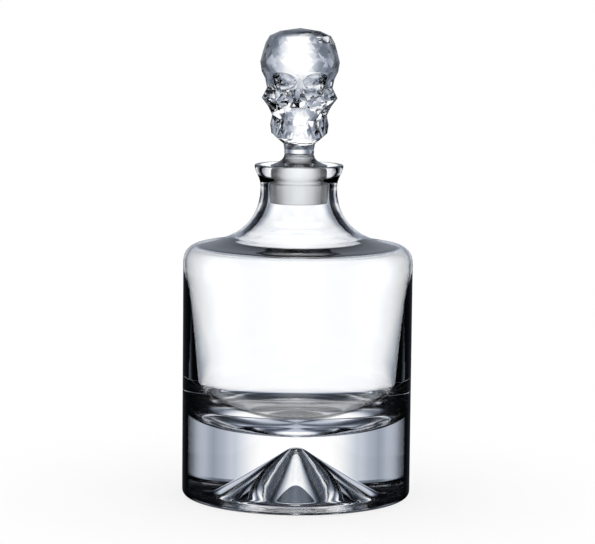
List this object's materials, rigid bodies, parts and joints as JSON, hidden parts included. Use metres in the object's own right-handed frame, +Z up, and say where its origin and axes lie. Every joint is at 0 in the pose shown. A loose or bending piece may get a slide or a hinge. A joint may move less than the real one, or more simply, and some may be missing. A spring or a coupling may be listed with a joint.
{
  "type": "liquor decanter",
  "caption": "Round clear-glass decanter with a thick base over a cone-shaped punt, flat shoulder, flared lip and a lift-out stopper with a faceted skull finial.",
  "frame": {"origin": "centre of the flat ring that the bottle stands on", "axes": "+Z up along the bottle's and the stopper's common axis, -Y towards the face of the skull, +X to the right seen from the face"},
  "size_m": [0.128, 0.128, 0.2611],
  "materials": {
    "bottle_glass": "clear, fire-polished",
    "stopper_glass": "clear, polished facets",
    "sleeve_polymer": "milky, translucent, satin"
  },
  "bodies": {
    "bottle": {"bottle": "bottle_glass"},
    "sleeve": {"stopper_sleeve": "sleeve_polymer"},
    "stopper": {"stopper_foot": "stopper_glass", "skull_finial": "stopper_glass"}
  },
  "joints": [
    {"name": "stopper_lift", "type": "slide", "parent": "bottle", "child": "sleeve", "axis": [0, 0, 1], "range_m": [0, 0.06]},
    {"name": "stopper_turn", "type": "hinge", "parent": "sleeve", "child": "stopper", "pos_m": [0, 0, 0.18], "axis": [0, 0, 1], "continuous": true}
  ]
}
